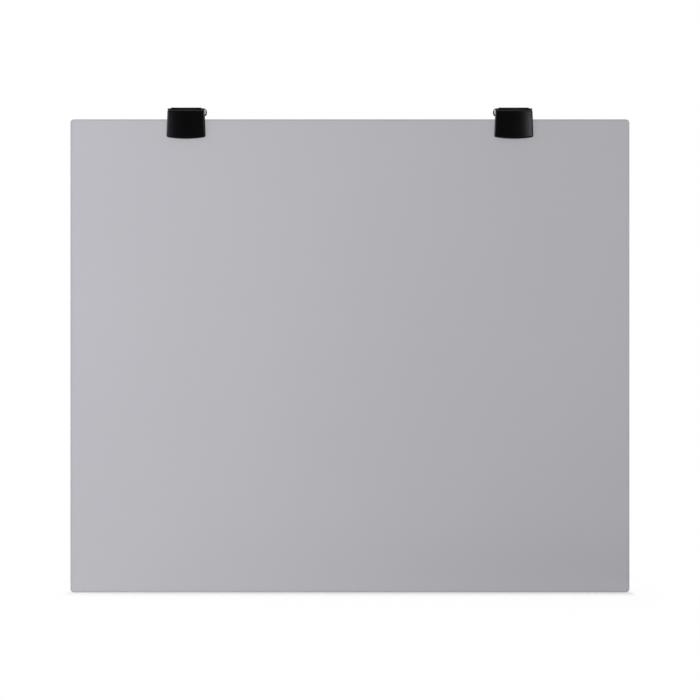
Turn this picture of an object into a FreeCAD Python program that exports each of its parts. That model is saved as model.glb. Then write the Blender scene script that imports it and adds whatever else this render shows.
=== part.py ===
import FreeCAD, Part
import math
import os

# Anti-glare filter that hangs in front of a flat monitor: a tinted acrylic pane, two moulded clips on its
# top edge, and a bent-wire hanger in each clip that goes over the monitor's top.
# Millimetres. +Z is up, +Y points away from the viewer and +X to the viewer's right.
# The origin is midway between the clips, where the hangers bear on the top front edge of the monitor.

# Filter pane
pane_width = 410.0
pane_height = 347.0
pane_thickness = 2.5
pane_corner_radius = 2.7
pane_edge_round = 0.4

# Clip's front plate, measured from the pane's top edge; its sides lean in by the draft towards the top
clip_spacing = 240.2
clip_width = 28.8
plate_draft = 0.7
plate_wall = 2.0
plate_crown = 1.5
plate_rise = 6.85
plate_drop = 14.5
plate_bottom_sag = 1.4
plate_corner_radius = 1.6
plate_edge_round = 1.3
plate_top_round = 1.6

# Saddle that wraps over the pane's top edge and down its back
web_thickness = 1.8
rear_wall = 1.6
rear_drop = 9.0
rear_corner_radius = 2.0
saddle_round = 0.5

# Double-sided tape between the plate and the pane
tape_thickness = 0.4
tape_margin = 1.5

# Wire hanger
wire_diameter = 1.2
hanger_inset = 0.45
hanger_bend_radius = 1.4
hanger_reach = 20.1
hanger_lip_run = 0.8
hanger_end_length = 7.0
hanger_lift_deg = 2.5

# Hinge barrel at the top of the clip
hinge_rise = 7.55
hinge_clearance = 0.05
barrel_wall = 0.5
barrel_inset = 0.1
barrel_end_gap = 0.75
barrel_end_round = 0.4

# Depths, from the monitor's front plane towards the viewer
slot_width = pane_thickness + tape_thickness
pane_back_y = -rear_wall
pane_front_y = pane_back_y - pane_thickness
plate_back_y = -(rear_wall + slot_width)
plate_side_y = plate_back_y - plate_wall
plate_front_y = plate_side_y - plate_crown
plate_root_y = plate_back_y - plate_wall / 2

# The wire's legs come just inside the clip's sides, and the barrel ends short of their bends
wire_radius = wire_diameter / 2
bore_radius = wire_radius + hinge_clearance
barrel_radius = bore_radius + barrel_wall
leg_x = clip_width / 2 - hanger_inset - wire_radius
barrel_length = 2 * (leg_x - hanger_bend_radius - barrel_end_gap)
wire_end_x = barrel_length / 2 - hanger_end_length
hanger_drop = 2 * hanger_bend_radius + hanger_lip_run

# The hinge sits behind the plate, at the height that brings the underside of the legs to the origin
hinge_y = plate_back_y + barrel_radius - barrel_inset
lift = math.radians(hanger_lift_deg)
hinge_z = wire_radius / math.cos(lift) + hinge_y * math.tan(lift)
pane_top_z = hinge_z - hinge_rise
plate_top_z = pane_top_z + plate_rise
plate_low_z = pane_top_z - plate_drop

X_AXIS = FreeCAD.Vector(1, 0, 0)
Y_AXIS = FreeCAD.Vector(0, 1, 0)
Z_AXIS = FreeCAD.Vector(0, 0, 1)
SHARP_ANGLE = math.radians(30)
NEAR = 0.01


def point(x, y, z):
    return FreeCAD.Vector(x, y, z)


def box(low, high):
    """Block between two opposite corners."""
    size = high - low
    return Part.makeBox(size.x, size.y, size.z, low)


def solid_of(edges, sweep):
    """Solid made by sweeping the face inside a closed run of edges along a vector."""
    return Part.Face(Part.Wire(edges)).extrude(sweep)


def edges_along(shape, direction):
    """The straight edges of a shape that run along a direction."""
    straight = [e for e in shape.Edges if isinstance(e.Curve, Part.Line)]
    return [e for e in straight if abs(e.tangentAt(e.FirstParameter).dot(direction)) > 1 - NEAR]


def sharp_edges(shape):
    """The edges of a shape where two faces meet at an angle."""
    found = []
    for edge in shape.Edges:
        middle = edge.valueAt((edge.FirstParameter + edge.LastParameter) / 2)
        faces = shape.ancestorsOfType(edge, Part.Face)
        first, second = [face.normalAt(*face.Surface.parameter(middle)) for face in faces]
        if first.getAngle(second) > SHARP_ANGLE:
            found.append(edge)
    return found


def polygon(points):
    """Closed run of straight edges through the points."""
    return [Part.makeLine(a, b) for a, b in zip(points, points[1:] + points[:1])]


def rounded_path(points, radius):
    """Open path of straight runs through the points, with a tangent arc at each corner."""
    edges = []
    start = points[0]
    for before, corner, after in zip(points, points[1:], points[2:]):
        inward = (before - corner).normalize()
        outward = (after - corner).normalize()
        half_angle = inward.getAngle(outward) / 2
        setback = radius / math.tan(half_angle)
        bisector = (inward + outward).normalize()
        arc_start = corner + inward * setback
        arc_end = corner + outward * setback
        arc_middle = corner + bisector * (radius / math.sin(half_angle) - radius)
        edges.append(Part.makeLine(start, arc_start))
        edges.append(Part.Arc(arc_start, arc_middle, arc_end).toShape())
        start = arc_end
    edges.append(Part.makeLine(start, points[-1]))
    return Part.Wire(edges)


def filter_pane():
    """Flat pane with rounded corners and softened edges."""
    low = point(-pane_width / 2, pane_front_y, pane_top_z - pane_height)
    high = point(pane_width / 2, pane_back_y, pane_top_z)
    pane = box(low, high)
    pane = pane.makeFillet(pane_corner_radius, edges_along(pane, Y_AXIS))
    broad_faces = sorted(pane.Faces, key=lambda face: face.Area)[-2:]
    return pane.makeFillet(pane_edge_round, [edge for face in broad_faces for edge in face.Edges])


def front_plate(x):
    """Front of a clip: crowned from side to side, with a bowed bottom edge and rounded corners."""
    left, right = x - clip_width / 2, x + clip_width / 2
    top_left, top_right = left + plate_draft, right - plate_draft
    side_low_z = plate_low_z + plate_bottom_sag
    bottom = Part.Arc(
        point(left, plate_back_y, side_low_z),
        point(x, plate_back_y, plate_low_z),
        point(right, plate_back_y, side_low_z),
    )
    outline = [
        bottom.toShape(),
        Part.makeLine(point(right, plate_back_y, side_low_z), point(top_right, plate_back_y, plate_top_z)),
        Part.makeLine(point(top_right, plate_back_y, plate_top_z), point(top_left, plate_back_y, plate_top_z)),
        Part.makeLine(point(top_left, plate_back_y, plate_top_z), point(left, plate_back_y, side_low_z)),
    ]
    slab = solid_of(outline, Y_AXIS * (plate_front_y - plate_back_y))
    low_corners = [e for e in edges_along(slab, Y_AXIS) if e.CenterOfMass.z < pane_top_z]
    slab = slab.makeFillet(plate_corner_radius, low_corners)
    crown = Part.Arc(
        point(left, plate_side_y, plate_low_z),
        point(x, plate_front_y, plate_low_z),
        point(right, plate_side_y, plate_low_z),
    )
    section = [
        crown.toShape(),
        Part.makeLine(point(right, plate_side_y, plate_low_z), point(right, plate_back_y, plate_low_z)),
        Part.makeLine(point(right, plate_back_y, plate_low_z), point(left, plate_back_y, plate_low_z)),
        Part.makeLine(point(left, plate_back_y, plate_low_z), point(left, plate_side_y, plate_low_z)),
    ]
    plate = slab.common(solid_of(section, Z_AXIS * (plate_top_z - plate_low_z)))
    front_face = min(plate.Faces, key=lambda face: face.CenterOfMass.y)
    top_edge = max(front_face.Edges, key=lambda edge: edge.CenterOfMass.z)
    plate = plate.makeFillet(plate_top_round, [top_edge])
    outer_edges = [e for e in sharp_edges(plate) if e.CenterOfMass.y < plate_back_y - NEAR]
    return plate.makeFillet(plate_edge_round, outer_edges)


def saddle(x):
    """Web over the pane's top edge and a round-cornered tab behind the pane, as one bent strip."""
    left = x - barrel_length / 2
    wall_low_z = pane_top_z - rear_drop
    web_top_z = pane_top_z + web_thickness
    corners = [
        point(left, plate_root_y, pane_top_z),
        point(left, pane_back_y, pane_top_z),
        point(left, pane_back_y, wall_low_z),
        point(left, 0, wall_low_z),
        point(left, 0, web_top_z),
        point(left, plate_root_y, web_top_z),
    ]
    strip = solid_of(polygon(corners), X_AXIS * barrel_length)
    tab_corners = [e for e in edges_along(strip, Y_AXIS) if e.CenterOfMass.z < pane_top_z - rear_drop / 2]
    strip = strip.makeFillet(rear_corner_radius, tab_corners)
    back_face = max(strip.Faces, key=lambda face: face.CenterOfMass.y)
    return strip.makeFillet(saddle_round, back_face.Edges)


def hinge_block(x):
    """Upright post with the barrel along its top, its ends softened."""
    left, right = x - barrel_length / 2, x + barrel_length / 2
    low = point(left, hinge_y - barrel_radius, pane_top_z)
    post = box(low, point(right, hinge_y + barrel_radius, hinge_z))
    barrel = Part.makeCylinder(barrel_radius, barrel_length, point(left, hinge_y, hinge_z), X_AXIS)
    block = post.fuse(barrel).removeSplitter()
    end_arcs = [e for e in block.Edges if isinstance(e.Curve, Part.Circle)]
    return block.makeFillet(barrel_end_round, end_arcs)


def clip_cap(x):
    """Moulded clip: front plate, saddle, and a neck that ties the hinge block to the plate."""
    left, right = x - barrel_length / 2, x + barrel_length / 2
    neck_low = point(left, plate_root_y, pane_top_z)
    neck_high = point(right, hinge_y, plate_top_z - plate_edge_round)
    cap = front_plate(x).fuse([saddle(x), hinge_block(x), box(neck_low, neck_high)])
    bore = Part.makeCylinder(bore_radius, barrel_length, point(left, hinge_y, hinge_z), X_AXIS)
    return cap.cut(bore).removeSplitter()


def clip_tape(x):
    """Strip of double-sided tape behind the front plate."""
    half_width = clip_width / 2 - tape_margin
    low_z = plate_low_z + plate_bottom_sag + tape_margin
    low = point(x - half_width, plate_back_y, low_z)
    high = point(x + half_width, pane_front_y, pane_top_z - tape_margin)
    return box(low, high)


def hanger_wire(x):
    """Bent wire: ends in the barrel, two legs over the monitor's top, and a lip down its back."""
    rear_y = hinge_y + hanger_reach
    low_z = hinge_z - hanger_drop
    half = [
        point(wire_end_x, hinge_y, hinge_z),
        point(leg_x, hinge_y, hinge_z),
        point(leg_x, rear_y, hinge_z),
        point(leg_x, rear_y, low_z),
    ]
    mirrored = [point(-p.x, p.y, p.z) for p in reversed(half)]
    path = rounded_path(half + mirrored, hanger_bend_radius)
    end_circle = Part.Wire(Part.makeCircle(wire_radius, half[0], X_AXIS))
    wire = path.makePipeShell([end_circle], True, False)
    wire.rotate(point(0, hinge_y, hinge_z), X_AXIS, hanger_lift_deg)
    wire.translate(point(x, 0, 0))
    return wire


def main():
    os.makedirs("parts", exist_ok=True)
    parts = {"filter_pane": filter_pane()}
    for side, x in (("left", -clip_spacing / 2), ("right", clip_spacing / 2)):
        parts[f"{side}_clip_cap"] = clip_cap(x)
        parts[f"{side}_clip_tape"] = clip_tape(x)
        parts[f"{side}_hanger_wire"] = hanger_wire(x)
    for name, shape in parts.items():
        shape.exportStep(f"parts/{name}.step")


main()
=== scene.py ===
import math

import bpy
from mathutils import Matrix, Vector


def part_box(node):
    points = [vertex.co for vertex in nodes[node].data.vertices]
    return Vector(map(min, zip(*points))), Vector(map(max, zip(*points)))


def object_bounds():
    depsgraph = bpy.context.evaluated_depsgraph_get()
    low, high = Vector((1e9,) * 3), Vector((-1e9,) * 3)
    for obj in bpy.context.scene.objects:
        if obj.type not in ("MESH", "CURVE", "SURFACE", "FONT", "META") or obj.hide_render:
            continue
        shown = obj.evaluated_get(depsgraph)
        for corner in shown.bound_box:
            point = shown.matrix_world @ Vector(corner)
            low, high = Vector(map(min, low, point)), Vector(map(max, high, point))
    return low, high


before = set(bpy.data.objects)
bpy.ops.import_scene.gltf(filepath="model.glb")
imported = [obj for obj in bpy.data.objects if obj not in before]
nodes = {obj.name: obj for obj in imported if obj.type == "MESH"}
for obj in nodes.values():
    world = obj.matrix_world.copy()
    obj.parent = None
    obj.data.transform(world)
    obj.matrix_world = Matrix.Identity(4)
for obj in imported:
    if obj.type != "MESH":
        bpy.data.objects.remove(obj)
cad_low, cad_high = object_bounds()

# Anti-glare filter for a monitor: the finish of its pane, clips, tape and wire hangers, in a white studio.
# Metres, in the frame of the solids: +Z is up, +Y points away from the viewer and +X to the viewer's right.
pane_low, pane_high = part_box("filter_pane")

# Camera: level and square on to the pane's front face, whose edges fall on these pixels of the photo
IMAGE_PIXELS = 700
PANE_LEFT_PIXEL = 70.4
PANE_RIGHT_PIXEL = 629.5
PANE_TOP_PIXEL = 119.3
CAMERA_DISTANCE = 1.70
SENSOR_MM = 36.0

# Lamps: name, place, aim, width, height, watts, colour
LAMPS = [
    ("key_softbox", (-0.835, -0.485, 0.0), (-0.12, 0.0, -0.17), 0.90, 0.70, 6.2, (0.78, 0.80, 1.0)),
    ("side_softbox", (0.803, -1.106, 0.0), (0.12, 0.0, -0.1), 0.4, 1.1, 5.8, (0.98, 0.99, 1.0)),
    ("rim_softbox", (-0.95, 0.15, -0.05), (0.0, 0.15, -0.05), 0.60, 0.70, 4.2, (0.95, 0.96, 1.0)),
    ("top_softbox", (0.0, -0.25, 1.45), (0.0, 0.0, -0.3), 1.6, 1.2, 7.0, (1.0, 1.0, 1.0)),
]

# Studio walls and their strength: white where they are seen, and less as light on the object
WALL_COLOUR = (1.0, 1.0, 1.0, 1.0)
WHITE = 1.0
AMBIENT = 0.48
# In reflections the walls go from dim in front to white behind, over this range of a direction's Y;
# a steep direction counts as further to the front, by this share of its Z
FRONT_DIM = 0.02
DIM_TO_WHITE = (-0.55, 0.15)
STEEP_SHARE = 1.5
# Through the pane the backdrop is painted with light that fades from left to right, over this much of a
# direction's X to each side, and with a little painted shade below the horizon, over this much of its Z
BACKDROP_PAINTED_LIGHT = (1.0, 0.638)
BACKDROP_PAINTED_LIGHT_REACH = 0.15
LOW_PAINTED_SHADE = 0.945
LOW_PAINTED_SHADE_REACH = 0.08

# Floor: how far it goes to the sides and the front, and to the back
FLOOR_REACH = 3.0
FLOOR_BACK = 0.4
FLOOR_COLOUR = (0.85, 0.85, 0.85, 1.0)
FLOOR_ROUGHNESS = 0.9
FLOOR_SPECULAR = 0.1
# Through the pane the floor's glow is painted with light that fades from left to right, as the backdrop's
# does
FLOOR_PAINTED_LIGHT = (0.905, 0.555)
FLOOR_PAINTED_LIGHT_REACH = 0.25
# In reflections the floor's glow is painted dimmer towards the front, as shade, over this depth
FLOOR_PAINTED_SHADE = 0.12
FLOOR_PAINTED_SHADE_DEPTH = 0.12
# How white the floor is kept where it is seen, by distance from a line just in front of the pane;
# past the ends of the line the distance counts for more, so that the shadow ends with the pane
SHADOW_LEAD = 0.006
SHADOW_END_FALLOFF = 6.0
FLOOR_WHITES = [(0.0, 0.25), (0.008, 0.68), (0.02, 0.95), (0.06, 0.98), (0.3, 1.0)]

# Materials: colours are (place, colour) stops over a texture, a roughness is a range over a texture,
# a bump is a strength and a depth, and a detail is the octaves of a noise
CLOUD_DETAIL = 3.0
FINE_DETAIL = 2.0

# Tinted acrylic: faint clouds in the tint, and a matt grain
PANE_TINTS = [(0.3, (0.589, 0.583, 0.611)), (0.7, (0.604, 0.598, 0.626))]
PANE_CLOUD_SCALE = 5.0
PANE_GRAIN_SCALE = 2400.0
PANE_ROUGHNESS = (0.28, 0.36)
PANE_BUMP = (0.08, 0.00002)
PANE_TRANSMISSION = 0.85
PANE_IOR = 1.49
# The pane's thin edges, told from its faces by the Y of the normal, are smoother and darker: partly the
# deeper tint seen along their length, partly painted shade for the dark line that the rounded edge shows
EDGE_TO_FACE = (0.35, 0.95)
EDGE_TINT_AND_SHADE = 0.3
EDGE_ROUGHNESS = 0.16
# A narrow border inside the outline is painted a little darker too, as painted shade for the dark line
# along the outline, between these distances from it
BORDER_SHADE = 0.9
BORDER_SHADE_WIDTHS = (0.0007, 0.0014)

# Clip plastic: black, with a fine moulded grain
CLIP_BLACKS = [(0.3, (0.0020, 0.0020, 0.0022)), (0.7, (0.0030, 0.0030, 0.0032))]
CLIP_CLOUD_SCALE = 220.0
CLIP_GRAIN_SCALE = 5200.0
CLIP_ROUGHNESS = (0.16, 0.24)
CLIP_BUMP = (0.35, 0.00005)
CLIP_IOR = 1.47
CLIP_SPECULAR = 0.32

# Wire: a thin black coating, a little uneven
WIRE_BLACKS = [(0.3, (0.005, 0.005, 0.0055)), (0.7, (0.009, 0.009, 0.0095))]
WIRE_CLOUD_SCALE = 900.0
WIRE_ROUGHNESS = (0.26, 0.40)
WIRE_BUMP = (0.1, 0.00003)
WIRE_SPECULAR = 0.3

# Tape: dark foam with small cells, painted darker towards each cell's pit as shade
TAPE_PIT_SHADE_GREYS = [(0.0, (0.012, 0.012, 0.012)), (0.7, (0.030, 0.030, 0.031))]
TAPE_CELL_SCALE = 3200.0
TAPE_ROUGHNESS = (0.95, 0.75)
TAPE_BUMP = (0.5, 0.0001)


def feed(tree, value, socket):
    """Drive an input by a link from an output, or set it to a plain value."""
    if isinstance(value, bpy.types.NodeSocket):
        tree.links.new(value, socket)
    else:
        socket.default_value = value


def feed_named(tree, node, **values):
    """Drive a node's inputs by their names, written with underscores for spaces."""
    for name, value in values.items():
        feed(tree, value, node.inputs[name.replace("_", " ")])


def add(tree, kind, *values, operation=None, **named):
    """New node, its inputs driven by values in order, or by name."""
    node = tree.nodes.new(kind)
    if operation:
        node.operation = operation
    for value, socket in zip(values, node.inputs):
        feed(tree, value, socket)
    feed_named(tree, node, **named)
    return node


def scalar(tree, operation, *values):
    """Number worked out from numbers."""
    return add(tree, "ShaderNodeMath", *values, operation=operation).outputs["Value"]


def vector(tree, operation, *values, **named):
    """Vector worked out from vectors."""
    return add(tree, "ShaderNodeVectorMath", *values, operation=operation, **named).outputs["Vector"]


def split(tree, whole):
    """X, Y and Z of a vector, by name."""
    return add(tree, "ShaderNodeSeparateXYZ", whole).outputs


def mixed(tree, factor, first, second):
    """Blend of two numbers by a factor."""
    node = add(tree, "ShaderNodeMix", factor)
    number_inputs = [socket for socket in node.inputs if socket.identifier in ("A_Float", "B_Float")]
    for value, socket in zip((first, second), number_inputs):
        feed(tree, value, socket)
    return node.outputs["Result"]


def ranged(tree, value, low, high, from_low=0.0, from_high=1.0):
    """Value mapped from one range to another, clamped."""
    return add(tree, "ShaderNodeMapRange", value, from_low, from_high, low, high).outputs["Result"]


def ramp(tree, value, stops):
    """Colour ramp through (position, colour) stops."""
    node = add(tree, "ShaderNodeValToRGB", value)
    elements = node.color_ramp.elements
    given = len(elements)
    for index, (position, colour) in enumerate(stops):
        element = elements[index] if index < given else elements.new(position)
        element.position = position
        element.color = (*colour, 1.0)
    return node.outputs["Color"]


def noise(tree, coords, scale, detail):
    """Soft noise between 0 and 1."""
    return add(tree, "ShaderNodeTexNoise", Vector=coords, Scale=scale, Detail=detail).outputs["Fac"]


def bump(tree, height, strength, depth):
    """Normal that follows a height texture."""
    node = add(tree, "ShaderNodeBump", Height=height, Strength=strength, Distance=depth)
    return node.outputs["Normal"]


def object_coords(tree):
    """Place on the object, in metres."""
    return add(tree, "ShaderNodeTexCoord").outputs["Object"]


def material(name):
    """New node material; returns it, its tree and its Principled shader."""
    made = bpy.data.materials.new(name)
    made.use_nodes = True
    tree = made.node_tree
    return made, tree, tree.nodes["Principled BSDF"]


def edge_mask(tree):
    """1 on the pane's thin edges, 0 on its two broad faces."""
    normal = add(tree, "ShaderNodeNewGeometry").outputs["Normal"]
    facing = scalar(tree, "ABSOLUTE", split(tree, normal)["Y"])
    return ranged(tree, facing, 1.0, 0.0, *EDGE_TO_FACE)


def border_inset(tree, coords):
    """Distance of a point on the pane from the nearest side of its outline."""
    middle = (pane_low + pane_high) / 2
    half_size = (pane_high - pane_low) / 2
    from_middle = vector(tree, "ABSOLUTE", vector(tree, "SUBTRACT", coords, middle))
    inset = split(tree, vector(tree, "SUBTRACT", half_size, from_middle))
    return scalar(tree, "MINIMUM", inset["X"], inset["Z"])


def tinted_acrylic():
    """See-through grey acrylic with matt faces, and painted shade along its edges and outline."""
    made, tree, shader = material("tinted_acrylic")
    coords = object_coords(tree)
    edge = edge_mask(tree)
    # painted shade: the tint is scaled down in a narrow band inside the outline
    border_shade = ranged(tree, border_inset(tree, coords), BORDER_SHADE, 1.0, *BORDER_SHADE_WIDTHS)
    tint = ramp(tree, noise(tree, coords, PANE_CLOUD_SCALE, FINE_DETAIL), PANE_TINTS)
    grain = noise(tree, coords, PANE_GRAIN_SCALE, FINE_DETAIL)
    matt = ranged(tree, grain, *PANE_ROUGHNESS)
    # painted shade: the tint is also scaled down on the rounded edges, partly for their real deeper tint
    feed_named(
        tree,
        shader,
        Base_Color=vector(tree, "SCALE", tint, Scale=mixed(tree, edge, border_shade, EDGE_TINT_AND_SHADE)),
        Roughness=mixed(tree, edge, matt, EDGE_ROUGHNESS),
        Normal=bump(tree, grain, *PANE_BUMP),
        Transmission_Weight=PANE_TRANSMISSION,
        IOR=PANE_IOR,
    )
    return made


def clip_plastic():
    """Black moulded plastic with a soft shine."""
    made, tree, shader = material("clip_plastic")
    coords = object_coords(tree)
    cloud = noise(tree, coords, CLIP_CLOUD_SCALE, CLOUD_DETAIL)
    grain = noise(tree, coords, CLIP_GRAIN_SCALE, FINE_DETAIL)
    feed_named(
        tree,
        shader,
        Base_Color=ramp(tree, cloud, CLIP_BLACKS),
        Roughness=ranged(tree, grain, *CLIP_ROUGHNESS),
        Normal=bump(tree, grain, *CLIP_BUMP),
        IOR=CLIP_IOR,
        Specular_IOR_Level=CLIP_SPECULAR,
    )
    return made


def coated_wire():
    """Wire with a thin black coating."""
    made, tree, shader = material("coated_wire")
    cloud = noise(tree, object_coords(tree), WIRE_CLOUD_SCALE, CLOUD_DETAIL)
    feed_named(
        tree,
        shader,
        Base_Color=ramp(tree, cloud, WIRE_BLACKS),
        Roughness=ranged(tree, cloud, *WIRE_ROUGHNESS),
        Normal=bump(tree, cloud, *WIRE_BUMP),
        Specular_IOR_Level=WIRE_SPECULAR,
    )
    return made


def foam_tape():
    """Dark foam with small cells, with painted shade in their pits."""
    made, tree, shader = material("foam_tape")
    cells = add(tree, "ShaderNodeTexVoronoi", Vector=object_coords(tree), Scale=TAPE_CELL_SCALE)
    from_centre = cells.outputs["Distance"]
    feed_named(
        tree,
        shader,
        # painted shade: the colour darkens towards each cell's middle, where the bump dips
        Base_Color=ramp(tree, from_centre, TAPE_PIT_SHADE_GREYS),
        Roughness=ranged(tree, from_centre, *TAPE_ROUGHNESS),
        Normal=bump(tree, from_centre, *TAPE_BUMP),
    )
    return made


def seen_ray(tree, path):
    """1 for rays that show the background: camera, glossy and transmission rays."""
    direct_or_glossy = scalar(tree, "MAXIMUM", path["Is Camera Ray"], path["Is Glossy Ray"])
    return scalar(tree, "MAXIMUM", direct_or_glossy, path["Is Transmission Ray"])


def shadow_distance(tree, coords):
    """Distance on the floor from a line along X, just in front of the pane's bottom edge."""
    line_middle = (0.0, pane_low.y - SHADOW_LEAD, 0.0)
    from_middle = vector(tree, "ABSOLUTE", vector(tree, "SUBTRACT", coords, line_middle))
    past_end = vector(tree, "SUBTRACT", from_middle, (pane_high.x, 0.0, 0.0))
    outside = vector(tree, "MAXIMUM", past_end, (0.0, 0.0, 0.0))
    weighted = vector(tree, "MULTIPLY", outside, (SHADOW_END_FALLOFF, 1.0, 1.0))
    return add(tree, "ShaderNodeVectorMath", weighted, operation="LENGTH").outputs["Value"]


def floor_white():
    """White that keeps the object's shadow, and is lifted towards plain white where it is seen; through the
    pane its glow is painted with light that fades from left to right, and in reflections it is painted
    dimmer towards the front.
    """
    made, tree, shader = material("white_floor")
    feed_named(
        tree,
        shader,
        Base_Color=FLOOR_COLOUR,
        Roughness=FLOOR_ROUGHNESS,
        Specular_IOR_Level=FLOOR_SPECULAR,
    )
    coords = object_coords(tree)
    place = split(tree, coords)
    path = add(tree, "ShaderNodeLightPath").outputs
    # painted light: through the pane the floor glows brighter at the left and fades to the right
    painted_light_through_pane = ranged(tree, place["X"], *FLOOR_PAINTED_LIGHT, -FLOOR_PAINTED_LIGHT_REACH, FLOOR_PAINTED_LIGHT_REACH)
    # painted shade: in reflections the floor's glow is dimmer towards the front
    reflected = ranged(tree, place["Y"], FLOOR_PAINTED_SHADE, WHITE, -FLOOR_PAINTED_SHADE_DEPTH, 0.0)
    strength = mixed(tree, path["Is Glossy Ray"], WHITE, reflected)
    strength = mixed(tree, path["Is Transmission Ray"], strength, painted_light_through_pane)
    stops = [(distance, (white, white, white)) for distance, white in FLOOR_WHITES]
    whiteness = ramp(tree, shadow_distance(tree, coords), stops)
    share = scalar(tree, "MULTIPLY", whiteness, seen_ray(tree, path))
    glow = add(tree, "ShaderNodeEmission", Strength=strength)
    blend = add(tree, "ShaderNodeMixShader", share, shader.outputs["BSDF"], glow.outputs["Emission"])
    feed(tree, blend.outputs["Shader"], tree.nodes["Material Output"].inputs["Surface"])
    return made


def white_floor():
    """Flat floor at the foot of the pane."""
    mesh = bpy.data.meshes.new("floor")
    corners = [
        (-FLOOR_REACH, -FLOOR_REACH, 0.0),
        (FLOOR_REACH, -FLOOR_REACH, 0.0),
        (FLOOR_REACH, FLOOR_BACK, 0.0),
        (-FLOOR_REACH, FLOOR_BACK, 0.0),
    ]
    mesh.from_pydata(corners, [], [(0, 1, 2, 3)])
    mesh.materials.append(floor_white())
    floor = bpy.data.objects.new("floor", mesh)
    floor.location.z = cad_low.z
    bpy.context.scene.collection.objects.link(floor)


def studio_world():
    """White studio where it is seen, dim in front in reflections, and through the pane painted with light
    that fades from left to right and a little shade below the horizon.
    """
    world = bpy.data.worlds.new("studio")
    world.use_nodes = True
    bpy.context.scene.world = world
    tree = world.node_tree
    direction = split(tree, add(tree, "ShaderNodeTexCoord").outputs["Generated"])
    path = add(tree, "ShaderNodeLightPath").outputs
    steepness = scalar(tree, "ABSOLUTE", direction["Z"])
    behind = scalar(tree, "MULTIPLY_ADD", steepness, -STEEP_SHARE, direction["Y"])
    reflected = ranged(tree, behind, FRONT_DIM, WHITE, *DIM_TO_WHITE)
    # painted light: through the pane the backdrop is brighter at the left and fades to the right
    painted_light_fade = ranged(tree, direction["X"], *BACKDROP_PAINTED_LIGHT, -BACKDROP_PAINTED_LIGHT_REACH, BACKDROP_PAINTED_LIGHT_REACH)
    # painted shade: through the pane the backdrop is a little darker below the horizon
    low_painted_shade = ranged(tree, direction["Z"], LOW_PAINTED_SHADE, WHITE, -LOW_PAINTED_SHADE_REACH, 0.0)
    painted_light_through_pane = scalar(tree, "MULTIPLY", painted_light_fade, low_painted_shade)
    strength = mixed(tree, path["Is Glossy Ray"], AMBIENT, reflected)
    strength = mixed(tree, path["Is Transmission Ray"], strength, painted_light_through_pane)
    strength = mixed(tree, path["Is Camera Ray"], strength, WHITE)
    feed_named(tree, tree.nodes["Background"], Color=WALL_COLOUR, Strength=strength)


def softbox(name, place, aim, width, height, watts, colour):
    """Rectangular lamp, not itself seen by the camera or through the pane."""
    lamp = bpy.data.lights.new(name, "AREA")
    lamp.shape = "RECTANGLE"
    lamp.size = width
    lamp.size_y = height
    lamp.energy = watts
    lamp.color = colour
    held = bpy.data.objects.new(name, lamp)
    held.location = place
    held.rotation_euler = (Vector(aim) - Vector(place)).to_track_quat("-Z", "Y").to_euler()
    held.visible_camera = False
    held.visible_transmission = False
    bpy.context.scene.collection.objects.link(held)


def photo_camera():
    """Level camera in front of the pane, placed so that the pane's edges fall on the photo's pixels."""
    metres_per_pixel = (pane_high.x - pane_low.x) / (PANE_RIGHT_PIXEL - PANE_LEFT_PIXEL)
    middle = IMAGE_PIXELS / 2
    x = pane_low.x + (middle - PANE_LEFT_PIXEL) * metres_per_pixel
    z = pane_high.z - (middle - PANE_TOP_PIXEL) * metres_per_pixel
    data = bpy.data.cameras.new("photo_camera")
    data.sensor_width = SENSOR_MM
    data.lens = SENSOR_MM * CAMERA_DISTANCE / (IMAGE_PIXELS * metres_per_pixel)
    camera = bpy.data.objects.new("photo_camera", data)
    camera.location = (x, pane_low.y - CAMERA_DISTANCE, z)
    camera.rotation_euler = (math.pi / 2, 0.0, 0.0)
    bpy.context.scene.collection.objects.link(camera)
    bpy.context.scene.camera = camera


def dress_nodes():
    """Give each solid its material; left and right pieces share one."""
    finishes = {
        "filter_pane": tinted_acrylic(),
        "clip_cap": clip_plastic(),
        "clip_tape": foam_tape(),
        "hanger_wire": coated_wire(),
    }
    for name, node in nodes.items():
        kind = name.removeprefix("left_").removeprefix("right_")
        node.data.materials.clear()
        node.data.materials.append(finishes[kind])


def main():
    """Dress the solids, and set up the studio and the camera."""
    dress_nodes()
    white_floor()
    studio_world()
    for lamp in LAMPS:
        softbox(*lamp)
    photo_camera()
    bpy.context.scene.view_settings.view_transform = "Standard"


main()
